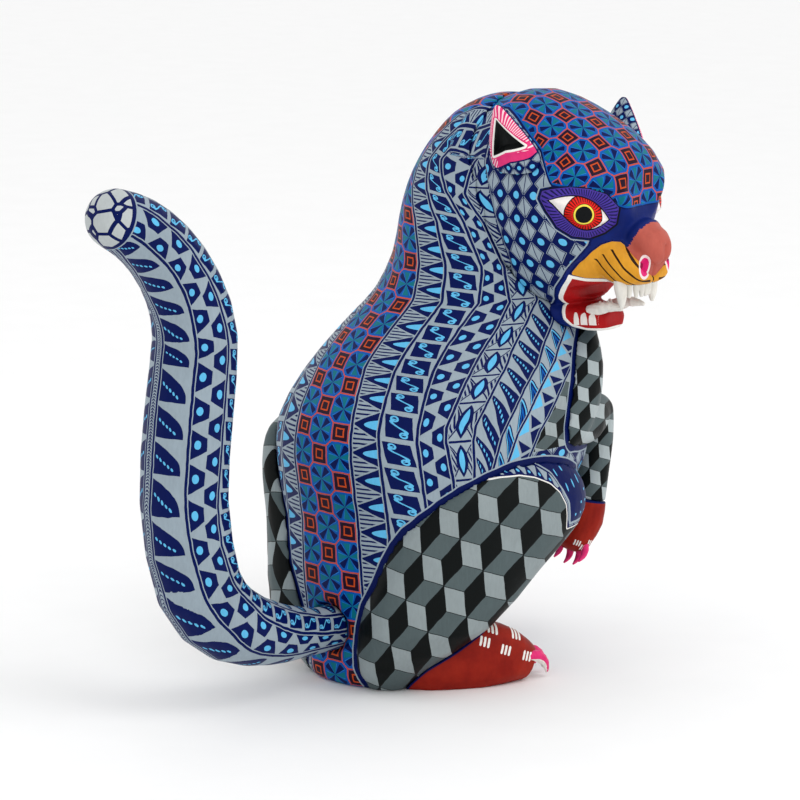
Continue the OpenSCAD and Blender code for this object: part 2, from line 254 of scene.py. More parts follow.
def finish_paint(g, colour, rough=0.42):
    """Brushed acrylic over carved wood: streaks in the colour, a fine tooth, and a satin sealer."""
    streak = g.noise(900, 3.0, 0.6, g.stretched(1, 1, 0.25))
    cloud = g.noise(60, 2.0, 0.5)
    shade = (streak - 0.5) * 0.26 + (cloud - 0.5) * 0.22 + 1.0
    n = g.node("ShaderNodeVectorMath", operation="SCALE")
    g.put(n.inputs[0], colour)
    g.put(n.inputs["Scale"], shade)
    g.nt.links.new(n.outputs[0], g.bsdf.inputs["Base Color"])
    g.put(g.bsdf.inputs["Roughness"], (streak - 0.5) * 0.25 + (cloud - 0.5) * 0.12 + rough)
    bump = g.node("ShaderNodeBump")
    bump.inputs["Strength"].default_value = 0.35
    bump.inputs["Distance"].default_value = 0.25 * MM
    grain = g.noise(260, 3.0, 0.6, g.stretched(1, 1, 0.12))
    g.put(bump.inputs["Height"], streak * 0.5 + grain)
    g.nt.links.new(bump.outputs[0], g.bsdf.inputs["Normal"])
    g.bsdf.inputs["Coat Weight"].default_value = 0.03
    g.bsdf.inputs["Coat Roughness"].default_value = 0.3
    g.bsdf.inputs["Specular IOR Level"].default_value = 0.06
    return g.mat


def wobble(g, size=0.35, scale=220):
    """Two small offsets that make painted lines uneven."""
    n = g.node("ShaderNodeSeparateColor")
    g.put(n.inputs[0], g.noise(scale, 1.0, 0.5, colour=True))
    return (V(g, n.outputs[0]) - 0.5) * (2 * size), (V(g, n.outputs[1]) - 0.5) * (2 * size)


# ---------------------------------------------------------------- painted bands
# Each takes p, which counts motifs along the band, and q, 0 on its inner line to 1 on its outer one, and
# gives a colour. Inner is towards the spine.


def band_zigzag(g, p, q):
    """Navy triangles that stand on the outer line, a drop in each, and fine hatch between them."""
    tri = abs(p.frac() - 0.5) * 2
    hatch = ((p * 6 + 0.2).frac() < 0.4) & (q < (tri - 0.1))
    drop = tri < (1.0 - (1.0 - q) / 0.56).max(0.0).sqrt() * 0.36
    out = g.mix(hatch | (q > (tri + 0.02)), SILVER, NAVY)
    return g.mix(drop & (q < 0.92), out, SKY)


def band_scroll(g, p, q):
    """Slanted blocks, each with a thin curl from corner to corner that ends in two hooks."""
    y = (p + q * 0.22).frac() - 0.5
    x = q - 0.5 + y * 0.12
    block = (abs(x) < 0.37) & (abs(y) < 0.41)
    curl = abs(x + (y * 9.5).sin() * 0.2) < 0.052
    hook = abs(hyp(abs(x) - 0.12, abs(y) - 0.27) - 0.085) < 0.028
    out = g.mix(block, SILVER, NAVY)
    return g.mix((curl & (abs(y) < 0.27)) | (hook & (x * y < 0.0)), out, SKY)


def band_dots(g, p, q):
    """Two rows of dotted, wedge-shaped beads that point at each other, half a step apart."""
    k = q * 2
    side = k.floor()
    x = (k.frac() - 0.5) * (1.0 - side * 2.0)
    c = (p + side * 0.5).frac() - 0.5
    bead = (abs(c) < (0.46 - (x + 0.44) * 0.29)) & (x > -0.44) & (x < 0.49)
    dot = hyp((x + 0.03) * 0.8, c * 1.1) < 0.145
    out = g.mix(bead, SILVER, NAVY)
    return g.mix(dot, out, SKY)


def band_hatch(g, p, q):
    """Crossed diagonals with hatched sides and a lens along the middle."""
    c = p.frac() - 0.5
    x = q - 0.5
    sides = abs(x) - abs(c)
    hatch = ((p * 4 + q * 7).frac() < 0.5) & (sides > 0.05)
    lens = abs(x) + c * c * 1.3
    out = g.mix(hatch | (abs(sides) < 0.03) | (abs(c) > 0.47), SILVER, NAVY)
    out = g.mix(lens < 0.24, out, NAVY)
    return g.mix(abs(x) + c * c * 1.1 < 0.11, out, SKY)


def band_leaves(g, p, q):
    """Spiky leaves, tip on the inner line, with a dashed rib."""
    c = p.frac() - 0.5
    leaf = abs(c) < ((q - 0.03).max(0.0).sqrt() * 0.47)
    dash = (abs(c) < 0.07) & ((q * 8).frac() < 0.5) & (abs(q - 0.5) < 0.34)
    out = g.mix(leaf & (q < 0.95), SILVER, NAVY)
    return g.mix(dash, out, SKY)


def band_arrows(g, p, q):
    """Nested pointed arches, tips on the inner line."""
    c = p.frac() - 0.5
    d = abs(c) - (q - 0.05).max(0.0).sqrt() * 0.43
    out = g.mix(d < 0.0, SILVER, NAVY)
    out = g.mix(abs(d + 0.1) < 0.035, out, SKY)
    return g.mix(abs(d + 0.27) < 0.04, out, MID)


def band_glass(g, p, q):
    """Triangles of light blue, navy and silver, point to point."""
    c = p.frac() - 0.5
    x = q - 0.5
    d = abs(x) - abs(c)
    out = g.mix(d > 0.0, SILVER, g.mix(x > 0.0, SKY, NAVY))
    out = g.mix((d < -0.12) & (c > 0.0), out, NAVY)
    return g.mix(abs(d) < 0.04, out, SILVER)


def band_sails(g, p, q):
    """Sail-shaped teeth on the inner line, straight on one side and curved on the other, with dots."""
    c = p.frac()
    room = (1.0 - q / 0.84).max(0.0)
    out = g.mix((c < room.sqrt() * 0.5 + room.sqrt().sqrt() * 0.41) & (q > 0.04), SILVER, NAVY)
    dots = hyp(((q * 9).frac() - 0.5) * 1.5, (c - room * 0.6) * 11) < 0.5
    return g.mix(dots & (q < 0.66) & (q > 0.1), out, SKY)


def band_weave(g, p, q):
    """Fine slanted hatch that meets at a middle line."""
    slant = abs(q - 0.5) * 3
    return g.mix(((p * 9 + slant).frac() < 0.5) & (abs(q - 0.5) > 0.05), NAVY, SILVER)


def squares(g, x, y):
    """Concentric orange squares and pinwheels in a checkerboard: x and y count cells."""
    even = ((x.floor() + y.floor()) * 0.5).frac() < 0.25
    lx, ly = x.frac() - 0.5, y.frac() - 0.5
    d = abs(lx).max(abs(ly))
    ring = ((d > 0.35) & (d < 0.405)) | ((d > 0.14) & (d < 0.2))
    link = (d > 0.4) & (abs(abs(lx) - abs(ly)) < 0.038)
    square = g.mix(ring | link, g.mix(d < 0.34, MID, MAROON), ORANGE)
    turn = ly.angle(lx) * (4 / math.pi) + 4.25
    wedge = (turn * 0.5).frac()
    wheel = g.mix(wedge < 0.4, MID, TEAL)
    wheel = g.mix((wedge > 0.5) & (wedge < 0.86), wheel, NAVY)
    wheel = g.mix(abs(turn.frac() - 0.5) > 0.465, wheel, GLINT)
    wheel = g.mix(abs(lx) + abs(ly) > 0.8, wheel, MID)
    return g.mix(even, wheel, square)


def lattice(g, x, y):
    """Navy diamonds, a dot in each, on silver with thin crossing and upright lines: x and y count cells."""
    fx, fy = x.frac() - 0.5, y.frac() - 0.5
    d = abs(fx) * 1.02 + abs(fy) * 0.92
    out = g.mix((abs(d - 0.56) < 0.022) | (abs(fx) > 0.478), SILVER, NAVY)
    out = g.mix(d < 0.505, out, NAVY)
    return g.mix(hyp(fx, fy) < 0.165, out, SKY)


def rhombs(g, s, t, pale=CUBE_LIGHT):
    """Stacked cubes: s and t count cube edges along and down the light faces."""
    i, j = s.floor(), t.floor()
    fs, ft = s.frac(), t.frac()
    kind = ((i - j) / 3 + 0.01).frac() * 3  # near 0, 1 or 2
    light = kind < 0.8
    one = (kind > 0.8) & (kind < 1.8)
    two = kind > 1.8
    both = fs + ft
    dark = (one & (both > 1)) | (two & (both < 1))
    out = g.mix(dark, CUBE_DARK, CUBE_MID)
    out = g.mix(light, out, pale)
    side = (fs.min(1 - fs)).min(ft.min(1 - ft)) < 0.03
    fold = abs(both - 1) < 0.025
    return g.mix((light & side) | ((1.0 - light) & fold), out, BLACK)


def borders(g, colour, inner, outer):
    """The navy line with a thin silver one beside it, at both edges of a band: distances in mm."""
    near = inner.min(outer)
    out = g.mix(near < 0.95, colour, SILVER)
    return g.mix(abs(near) < 0.55, out, NAVY)


# ---------------------------------------------------------------- shapes the paint follows (mm)

# Sections of the torso: middle (forward, right, up), half sizes along and across, and turn to the right in
# degrees
TORSO = np.array([
    (-10, 0, 0, 31, 28, 0), (-9.5, 0, 4, 34.5, 31, 0), (-10, 0, 25, 35, 38, 0), (-3.5, 0, 45, 44, 46, 0),
    (5, 0, 63, 52, 51, 2), (12, 0, 82, 62, 53, 4), (14, 0, 100, 63, 53, 8), (20.5, 1, 117, 58, 49.5, 12),
    (25, 3, 131, 51, 42.5, 18), (27, 5, 140, 45, 38.5, 22), (30, 6, 149, 39, 35.5, 26),
    (33, 8, 163, 36, 34.5, 36), (34, 9, 178, 35, 34, 48), (36, 11, 191, 34, 33, 62),
    (38, 12, 202, 31, 30, 66), (40, 13, 211, 27, 26, 68), (41, 14, 219, 21, 21, 70),
    (42, 15, 224.5, 13, 13, 70), (42, 15, 226.5, 6, 6, 70)], float)
# The middle of the tail: forward, right, up
TAIL = np.array([
    (-43, 0, 23), (-52, 0, 23), (-62, 0, 24.2), (-76, 0, 26.5), (-96, -1, 34), (-110, -3, 50), (-116, -4, 84),
    (-113, -4, 118), (-110.5, -3, 146), (-117, -2, 165), (-128.5, -1, 180), (-141, 0, 189.5),
    (-150.5, 0, 194), (-158, 0, 196)], float)
# The middle of the head, and the way it looks
HEAD = np.array([47.0, 37.0, 186.0])
TURN = math.radians(81)
AHEAD = np.array([math.cos(TURN), math.sin(TURN), 0.0])
ASIDE = np.array([-math.sin(TURN), math.cos(TURN), 0.0])
# The belly starts this far round from the spine
BELLY = math.radians(127)


def fnz(co):
    """Forward, right and up, in mm, of points in the shared frame."""
    return np.stack([-co[:, 1], -co[:, 0], co[:, 2]], 1) * 1000


def framed(way):
    """A (forward, right, up) direction in the shared frame."""
    return np.array([-way[1], -way[0], way[2]])


def smoothstep(a, b, x):
    t = np.clip((x - a) / (b - a), 0, 1)
    return t * t * (3 - 2 * t)


def ring_arc(p):
    """Distance round the body from the spine (over 0 on the right), past the belly's edge, from its middle."""
    z = p[:, 2]
    mid_f, mid_n, deep, broad, turn = (np.interp(z, TORSO[:, 2], TORSO[:, i]) for i in (0, 1, 3, 4, 5))
    turn = np.radians(turn)
    df, dn = p[:, 0] - mid_f, p[:, 1] - mid_n
    lx = df * np.cos(turn) + dn * np.sin(turn)
    ly = -df * np.sin(turn) + dn * np.cos(turn)
    ang = np.arctan2(ly / broad, -lx / deep)
    count = 32
    steps = np.linspace(0, 1, count + 1)
    arc = np.zeros(len(p))
    for k in range(count):
        a = ang * (steps[k] + steps[k + 1]) / 2
        arc += np.hypot(deep * np.sin(a), broad * np.cos(a)) * np.abs(ang) / count
    out = np.hypot(df, dn)
    return np.sign(ang) * arc, (np.abs(ang) - BELLY) * out, (math.pi - np.abs(ang)) * out


def head_frame(p):
    """Ahead, aside and up from the middle of the head."""
    d = p - HEAD
    return d @ AHEAD, d @ ASIDE, d[:, 2]


# Distance from the middle of the stripe to each border between bands, at eight heights
BORDER_Z = (40, 85, 105, 125, 140, 160, 190, 203)
BORDER_V = (
    (15.5, 15.5, 15.5, 15.5, 15.5, 15.5, 15.5, 13),
    (28, 27.5, 26.5, 28.5, 27.5, 27, 25.5, 20),
    (43, 42, 40.5, 42.5, 41, 41, 35, 26.5),
    (55, 53.5, 51, 57, 56.5, 50, 42, 41.5),
    (64, 62, 62.5, 71, 68, 62, 54, 54),
    (72, 69, 77, 86, 81, 74, 66, 66),
    (80, 75, 85, 94, 90, 84, 76, 76),
    (92, 85, 97, 106, 103, 96, 88, 88))
# The same distance over the nape, by the distance aside from the middle of the head
NAPE_W = (0, 18.5, 25.5, 32, 36, 38)
NAPE_V = (0, 13, 20, 26.5, 41.5, 60)
# How far the stripe wanders to the right of the spine, by height
DRIFT_Z = (0, 60, 100, 125, 150, 180, 200)
DRIFT_V = (2, 3, 8, 3, 6.5, 9.5, 6)
# How high one motif of a band is, by height, and how long it is where the bands run over the nape
PITCH_Z = (108, 118, 145, 160)
PITCH = (11.8, 7.0, 7.2, 8.8)
NAPE_PITCH = 9.0
# Size of the squares across and along, on the stripe and on the crown
STRIPE_CELL = (10.33, 10.0)
CROWN_CELL = (8.9, 9.3)
# Radii of the crown across and along, where its cells are counted from, and the rows below it
CROWN_R = (36, 38)
CROWN_START = (14.3, 28.6)
CROWN_SHIFT = 30


def body_paint(co):
    """What the body's bands read: v across from the stripe, every border, and counts along the bands."""
    p = fnz(co)
    z = p[:, 2]
    s, w, h = head_frame(p)
    arc, belly, across = ring_arc(p)
    v = arc - np.interp(z, DRIFT_Z, DRIFT_V)
    # over the nape the bands turn a corner and run on towards the ears
    nape = np.interp(np.abs(w - 1), NAPE_W, NAPE_V) + 200 * (1 - smoothstep(199, 205, z))
    turned = nape < np.abs(v)
    v = np.where(v < 0, -1, 1) * np.minimum(np.abs(v), nape)
    out = {"v": v, "z": z, "belly": belly, "across": across}
    for k, row in enumerate(BORDER_V):
        out[f"b{k}"] = np.interp(z, BORDER_Z, row)
    # distance up the line of the spine, and motifs passed on the way up
    rise = 0.5
    grid = np.arange(0, 240 + rise, rise)
    lean = np.radians(TORSO[:, 5])
    spine = np.stack([np.interp(grid, TORSO[:, 2], TORSO[:, 0] - TORSO[:, 3] * np.cos(lean)),
                      np.interp(grid, TORSO[:, 2], TORSO[:, 1] - TORSO[:, 3] * np.sin(lean)), grid], 1)
    run = np.r_[0, np.cumsum(np.linalg.norm(np.diff(spine, axis=0), axis=1))]
    up = np.interp(z, grid, run)
    passed = np.interp(z, grid, np.cumsum(rise / np.interp(grid, PITCH_Z, PITCH)))
    out["ph"] = np.where(turned, s / NAPE_PITCH, passed)
    # squares: the stripe's own cells on the back, the crown's over the head
    crown = np.maximum(smoothstep(188, 210, z), smoothstep(-30, -14, s))
    over = CROWN_R[0] * np.arcsin(np.clip(w / CROWN_R[0], -0.97, 0.97))
    crown_x = (over - CROWN_START[0]) / CROWN_CELL[0] + 2.5
    crown_y = (CROWN_R[1] * np.arctan2(s, h + 2) - CROWN_START[1]) / CROWN_CELL[1] + 0.5
    out["sx"] = (v / STRIPE_CELL[0] + 1.5) * (1 - crown) + crown_x * crown
    out["sy"] = up / STRIPE_CELL[1] * (1 - crown) + (crown_y + CROWN_SHIFT) * crown
    return out


# ---------------------------------------------------------------- meshes


def write(mesh, values):
    """Store named values at the points, for the materials."""
    for k, a in values.items():
        att = mesh.attributes.new(k, "FLOAT", "POINT")
        att.data.foreach_set("value", np.asarray(a, np.float32))


def coords(mesh):
    co = np.empty(len(mesh.vertices) * 3, np.float32)
    mesh.vertices.foreach_get("co", co)
    return co.reshape(-1, 3).astype(float)


def set_coords(mesh, co):
    mesh.vertices.foreach_set("co", co.astype(np.float32).ravel())
    mesh.update()


def normals(mesh):
    no = np.empty(len(mesh.vertices) * 3, np.float32)
    mesh.vertex_normals.foreach_get("vector", no)
    return no.reshape(-1, 3).astype(float)


def edge_ends(mesh):
    ends = np.empty(len(mesh.edges) * 2, np.int32)
    mesh.edges.foreach_get("vertices", ends)
    return ends[::2], ends[1::2]


def face_values(mesh, a):
    """The mean of a point value over each face."""
    loops = np.empty(len(mesh.loops), np.int32)
    mesh.loops.foreach_get("vertex_index", loops)
    start = np.empty(len(mesh.polygons), np.int32)
    mesh.polygons.foreach_get("loop_start", start)
    total = np.empty(len(mesh.polygons), np.int32)
    mesh.polygons.foreach_get("loop_total", total)
    return np.add.reduceat(a[loops], start) / total


def remade(name, node, voxel, smooth):
    """A fine, even copy of a CAD node: the size of its cells in mm, and how many times it is smoothed."""
    o = placed(name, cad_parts[node].data.copy())
    o.data.materials.clear()
    m = o.modifiers.new("even", "REMESH")
    m.mode = "VOXEL"
    m.voxel_size = voxel * MM
    m = o.modifiers.new("worn", "SMOOTH")
    m.factor = 0.5
    m.iterations = smooth
    deps = bpy.context.evaluated_depsgraph_get()
    new = bpy.data.meshes.new_from_object(o.evaluated_get(deps))
    o.modifiers.clear()
    o.data = new
    new.name = name
    new.polygons.foreach_set("use_smooth", np.ones(len(new.polygons), bool))
    return o


def done(o, node, body, mats, fields=()):
    """Paint a piece and put it in a node's place. A face takes the last material whose field is over 0."""
    index = np.zeros(len(o.data.polygons), np.int32)
    for k, field in fields:
        index[face_values(o.data, field) > 0] = k
    for m in mats:
        o.data.materials.append(m)
    o.data.polygons.foreach_set("material_index", index)
    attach(o, body)
    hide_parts(node)


def carved(node):
    """The surface of a CAD node, to measure from."""
    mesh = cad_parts[node].data
    return BVHTree.FromPolygons([v.co for v in mesh.vertices], [tuple(p.vertices) for p in mesh.polygons])


def gap_to(co, nodes, far):
    """Distance in mm from each point to the nearest of some CAD nodes, capped."""
    best = np.full(len(co), far)
    for node in nodes:
        tree = carved(node)
        box = np.array(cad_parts[node].bound_box)
        lo, hi = box.min(0) - far * MM, box.max(0) + far * MM
        for i in np.nonzero(((co > lo) & (co < hi)).all(1))[0]:
            hit = tree.find_nearest(co[i], far * MM)
            if hit[0] is not None:
                best[i] = min(best[i], hit[3] / MM)
    return best


def snap(o, node, mate, reach=3.0):
    """Put the softened edge along a joint line back on the carved surface."""
    co = coords(o.data)
    near = gap_to(co, (mate,), reach + 1)
    tree = carved(node)
    no = normals(o.data)
    for i in np.nonzero(near < reach)[0]:
        hit = tree.find_nearest(co[i] + no[i] * 0.6 * MM)
        k = 1 - near[i] / reach
        co[i] = co[i] * (1 - k) + np.array(hit[0]) * k
    set_coords(o.data, co)


def soften(mesh, weight, rounds):
    """Smooth the surface where the weight is over 0."""
    co = coords(mesh)
    a, b = edge_ends(mesh)
    count = np.maximum(np.bincount(np.r_[a, b], minlength=len(co)), 1)[:, None]
    for _ in range(rounds):
        total = np.stack([np.bincount(a, co[b, k], len(co)) + np.bincount(b, co[a, k], len(co))
                          for k in range(3)], 1)
        co += (total / count - co) * weight[:, None]
    set_coords(mesh, co)


def islands(mesh):
    """A label for each point, the same all over one separate solid."""
    a, b = edge_ends(mesh)
    label = np.arange(len(mesh.vertices))
    while True:
        low = np.minimum(label[a], label[b])
        new = label.copy()
        np.minimum.at(new, a, low)
        np.minimum.at(new, b, low)
        new = new[new]
        if (new == label).all():
            return label
        label = new


def outline(x, y, pts):
    """Signed distance to a closed outline of (x, y) points, positive inside."""
    pts = np.array(pts, float)
    best = np.full(len(x), 1e9)
    inside = np.zeros(len(x), bool)
    for (ax, ay), (bx, by) in zip(pts, np.roll(pts, -1, 0)):
        dx, dy = bx - ax, by - ay
        k = np.clip(((x - ax) * dx + (y - ay) * dy) / (dx * dx + dy * dy), 0, 1)
        best = np.minimum(best, np.hypot(x - ax - k * dx, y - ay - k * dy))
        if dy:
            inside ^= ((ay > y) != (by > y)) & (x < (y - ay) * dx / dy + ax)
    return np.where(inside, best, -best)


def ridge(d, width):
    """1 on a line and falling off on both sides of it."""
    return np.exp(-(d / width) ** 2)


# ---------------------------------------------------------------- body

# The bands from the stripe round to the chest: pattern, motifs to one count, and how far they slant
BANDS = (
    (band_zigzag, 1.13, 0), (band_scroll, 1.2, 0), (band_dots, 1.05, 0), (band_hatch, 0.8, 0),
    (band_leaves, 1.5, 1.9), (band_arrows, 1.2, 1.2), (band_glass, 1.3, 0.6))
CHEST = len(BANDS) + 1
# Below this height the lattice of the belly takes the place of the chest's cubes
CUBES_FROM = 92.0
# Cubes are smaller on the chest and the arms than on the haunches
SMALL_CUBES = 1.75
LIMBS = ("leg_right", "leg_left", "arm_right", "arm_left")


def trim(g, colour):
    """Navy and silver lines round the pieces that are set into the body."""
    near = g.attr("near")
    out = g.mix(near < 2.1, colour, SILVER)
    return g.mix(near < 1.5, out, NAVY)


def body_band(k):
    """The stripe of squares, one of the bands, or the chest and belly."""
    g = Graph(f"band_{k}")
    wx, wy = wobble(g)
    v = abs(g.attr("v")) + wx
    if k == 0:
        outer = g.attr("b0") - v
        colour = borders(g, squares(g, g.attr("sx") + wx * 0.1, g.attr("sy") + wy * 0.1), outer, outer)
    elif k == CHEST:
        inner = (v - g.attr(f"b{k - 1}")).max(g.attr("belly"))
        chest = rhombs(g, g.attr("ca") + wx * 0.1, g.attr("cb") + wy * 0.1)
        belly = lattice(g, g.attr("across") / 7.5 + 0.5, g.attr("z") / 8.5)
        line = abs(g.attr("belly")) < 0.6
        colour = g.mix((g.attr("belly") > 0.0) | (g.attr("z") < CUBES_FROM), chest, belly)
        colour = borders(g, g.mix(line, colour, NAVY), inner, inner)
    else:
        pattern, count, lean = BANDS[k - 1]
        lo, hi = g.attr(f"b{k - 1}"), g.attr(f"b{k}")
        q = (v - lo) / (hi - lo)
        p = g.attr("ph") * count + wy * 0.05 + q * lean + 0.3 * k
        colour = borders(g, pattern(g, p, q), v - lo, (hi - v).min(0.0 - g.attr("belly")))
    return finish_paint(g, trim(g, colour))


def band_fields(vals):
    """A field over 0 past each border, and over 0 on the belly."""
    past = [(k + 1, np.abs(vals["v"]) - vals[f"b{k}"]) for k in range(CHEST)]
    return past + [(CHEST, vals["belly"])]


def cube_cells(p, size, shift=0.0):
    """Cube lattice over one side of the figure: counts along and down the light faces."""
    f, n, z = p[:, 0], np.abs(p[:, 1]), p[:, 2]
    return {"ca": (0.0844 * f + 0.1074 * n + 0.0108 * z - 5.09) * size + shift,
            "cb": (8.35 - 0.0306 * f - 0.015 * n - 0.1 * z) * size}


band_mats = [body_band(k) for k in range(CHEST + 1)]
torso = remade("body_carving", "torso", 1.1, 8)
snap(torso, "torso", "head")
co = coords(torso.data)
vals = body_paint(co)
vals.update(cube_cells(fnz(co), SMALL_CUBES))
vals["near"] = gap_to(co, LIMBS, 4.0)
write(torso.data, vals)
done(torso, "torso", "root", band_mats, band_fields(vals))

# ---------------------------------------------------------------- limbs

# The lower edge of the patterned rim over the near haunch: forward and up
RIM_F = (-60, -30, -20, -12, -5, 3.6, 10.7, 18, 22.6, 25.4, 26.6)
RIM_Z = (60, 76, 81.5, 84, 84.7, 84.5, 82.8, 79.5, 75.4, 70.3, 60)
RIM_PITCH = 4.6
# The cubes of the left haunch are moved so that no odd face is left at its edge
LEFT_SHIFT = -0.2


def cube_mat(name, rim, pale):
    g = Graph(name)
    wx, wy = wobble(g, 0.03)
    colour = rhombs(g, g.attr("ca") + wx, g.attr("cb") + wy, pale)
    if rim:
        d, wide = g.attr("rim"), g.attr("rim_wide")
        past = d - wide
        x = (g.attr("rim_run") / RIM_PITCH).frac() - 0.5
        q = d / wide
        band = g.mix(abs(x) < ((1.08 - q) * 0.46), SILVER, NAVY)
        band = g.mix(hyp(x, (q - 0.42) * 1.1) < 0.12, band, SKY)
        band = g.mix((d < 1.0) | (q > 0.94), band, NAVY)
        band = g.mix((q > 1.12) & (past < 1.2), band, SILVER)
        row = ((past - 1.6) / 4.2).frac() - 0.5
        band = g.mix((past > 1.6) & (hyp(x, row) < 0.13), band, SKY)
        band = g.mix(d < 0.5, band, WHITE)
        colour = g.mix(d > 0.0, colour, band)
    return finish_paint(g, colour)


leg_mat = cube_mat("leg_cubes", True, LEG_LIGHT)
arm_mat = cube_mat("arm_cubes", False, ARM_LIGHT)
for side in ("right", "left"):
    leg = remade(f"leg_{side}_carving", f"leg_{side}", 1.0, 6)
    p = fnz(coords(leg.data))
    f = p[:, 0]
    write(leg.data, cube_cells(p, 1.0, LEFT_SHIFT if side == "left" else 0.0))
    over = outline(f, p[:, 2], [*zip(RIM_F, RIM_Z), (60, 60), (60, 130), (-60, 130)])
    if side == "left":
        over[:] = -9.0  # no rim
    wide = np.interp(f, (-10, 14, 20, 24), (5, 5, 3.8, 1.5))
    write(leg.data, {"rim": over, "rim_run": f - np.abs(p[:, 1]) * 0.2, "rim_wide": wide})
    done(leg, f"leg_{side}", "root", [leg_mat])
    arm = remade(f"arm_{side}_carving", f"arm_{side}", 0.8, 6)
    write(arm.data, cube_cells(fnz(coords(arm.data)), SMALL_CUBES))
    done(arm, f"arm_{side}", "root", [arm_mat])

# ---------------------------------------------------------------- feet, paws, claws and teeth

# Middles of the groups of strokes on a foot, and the directions from a paw's middle to those on the paw
TICKS = ((-1, 46, 23), (9, 49, 19.5), (-6.8, 47.5, 18.9), (1, 51.3, 14.9), (11.2, 53.1, 10.9))
PAW_SIDES = ((-0.75, 0.6, -0.2), (-0.4, 0.7, -0.6), (0.1, 0.9, -0.35), (0.9, 0.3, -0.2), (0.8, -0.4, -0.4))
TICK_RISE = 0.2
CLAW_GROWTH = np.array([1.4, 1.5, 1.35])
CLAW_RISE = np.array([0, 0.001, 0.002])


def tick_field(p, marks, size, tilt=0.3):
    """Groups of three short strokes: the field is over 0 on paint. Marks are (forward, right, up)."""
    f, n, z = p[:, 0], np.abs(p[:, 1]), p[:, 2]
    out = np.full(len(p), -1.0)
    for mf, mn, mz in marks:
        near = np.sqrt((f - mf) ** 2 + (n - mn) ** 2 + (z - mz) ** 2) < 6 * size
        x = ((f - mf) * 0.85 + (n - mn) * 0.5 - (z - mz) * tilt) / size
        y = ((z - mz) + (f - mf) * 0.2) / size
        for k in (-1, 0, 1):
            d = 0.5 - np.hypot(x - 1.7 * k, np.maximum(np.abs(y + 0.3 * k) - 1.5, 0))
            out = np.where(near, np.maximum(out, d), out)
    return out


def brick_mat():
    g = Graph("brick_red")
    tone = g.noise(90, 3.0, 0.6)
    colour = g.mix((tone - 0.35) * 2.2, *BRICK)
    colour = g.mix(g.attr("tick") > 0.0, colour, WHITE)
    return finish_paint(g, g.mix(g.attr("near") < 1.0, colour, NAVY), 0.5)


def claw_mat():
    g = Graph("claw_pink")
    return finish_paint(g, g.mix(g.attr("white") > 0.0, g.mottle(CLAW, 300), WHITE), 0.32)


def bone_mat():
    g = Graph("bone_white")
    return finish_paint(g, g.mix(g.attr("gum") > 0.0, g.mottle(BONE, 240, 3.0, 0.6), GUM), 0.34)


def bolder_claws(o, foot):
    """Each claw grows from its root, so that it lies over the toe and reaches towards the ground."""
    co = coords(o.data)
    near = gap_to(co, (foot,), 4.0)
    label = islands(o.data)
    for k in np.unique(label):
        own = label == k
        root = co[own & (near <= near[own].min() + 0.4)].mean(0)
        co[own] = root + (co[own] - root) * CLAW_GROWTH + CLAW_RISE
    co[:, 2] = np.maximum(co[:, 2], 0.2 * MM)
    set_coords(o.data, co)


def brick_piece(node, mate, voxel, size):
    """A foot or a paw, with its strokes raised like thick paint."""
    o = remade(node + "_carving", node, voxel, 6)
    co = coords(o.data)
    p = fnz(co)
    if node.startswith("foot"):
        marks = TICKS
    else:
        out = (p - p.mean(0)) * (1, np.sign(p[0, 1]), 1)
        marks = [np.abs(p[np.argmax(out @ np.array(d))]) for d in PAW_SIDES]
    tick = tick_field(p, marks, size)
    rise = normals(o.data) * (np.clip(tick, -0.3, 0.3) + 0.3)[:, None] * TICK_RISE * MM
    set_coords(o.data, co + rise)
    write(o.data, {"tick": tick, "near": gap_to(co, (mate,), 3.0)})
    done(o, node, "root", [brick])


brick, claw, bone = brick_mat(), claw_mat(), bone_mat()
for side in ("right", "left"):
    brick_piece(f"foot_{side}", f"leg_{side}", 0.5, 1.0)
    brick_piece(f"paw_{side}", f"arm_{side}", 0.4, 0.6)
    claws = remade(f"claws_foot_{side}_carving", f"claws_foot_{side}", 0.25, 3)
    bolder_claws(claws, f"foot_{side}")
    write(claws.data, {"white": -normals(claws.data)[:, 2] - 0.35})
    done(claws, f"claws_foot_{side}", "root", [claw])
    claws = remade(f"claws_hand_{side}_carving", f"claws_hand_{side}", 0.25, 3)
    write(claws.data, {"white": np.full(len(claws.data.vertices), -1.0)})
    done(claws, f"claws_hand_{side}", "root", [claw])
FANGS = [f"{row}_fang_{side}" for side in ("right", "left") for row in ("upper", "lower")]
for node in FANGS + ["upper_incisors", "lower_incisors"]:
    o = remade(node + "_carving", node, 0.25, 3)
    z = fnz(coords(o.data))[:, 2]
    root = z.max() - z if "upper" in node else z - z.min()
    write(o.data, {"gum": 0.8 - root})
    done(o, node, "root", [bone])

# ---------------------------------------------------------------- head
# Outlines in the head's own frame: (ahead, up) from its middle, the same on both sides. CREST_A is how far
# down from the top the crest reaches, in degrees, at each distance ahead. EYE is (along, up) from the eye's
# middle.

CREST_S = (-30, -20, -12, -5, 9.7, 12.4, 14.9, 16.8, 22.9, 28.9, 33.6, 36, 38)
CREST_A = (28, 28, 29, 36, 53.4, 61, 68.5, 73.7, 74, 73, 77, 88, 92)
MUZZLE = ((18.6, -25.8), (19.4, -24.4), (23.1, -19.9), (26.4, -15.9), (29.3, -13), (32, -11.8), (34.3, -12.2),
          (36.8, -14), (60, -14), (60, -31), (40, -30), (30, -29.2), (22, -27.6))
NOSE = ((36.6, -14.5), (38.4, -11.6), (40, -8.8), (42.4, -4), (60, -4), (60, -27), (44.5, -26.4), (43, -26),
        (41.7, -22.6), (39.8, -17.8), (38, -15.6))
MOUTH = ((18.6, -26), (22, -27.6), (30, -29.2), (40, -30), (60, -31), (60, -47.4), (26, -48.3), (18, -48.3),
         (13, -47), (10.5, -44.5), (9.2, -40), (10.4, -36), (14, -31.4))
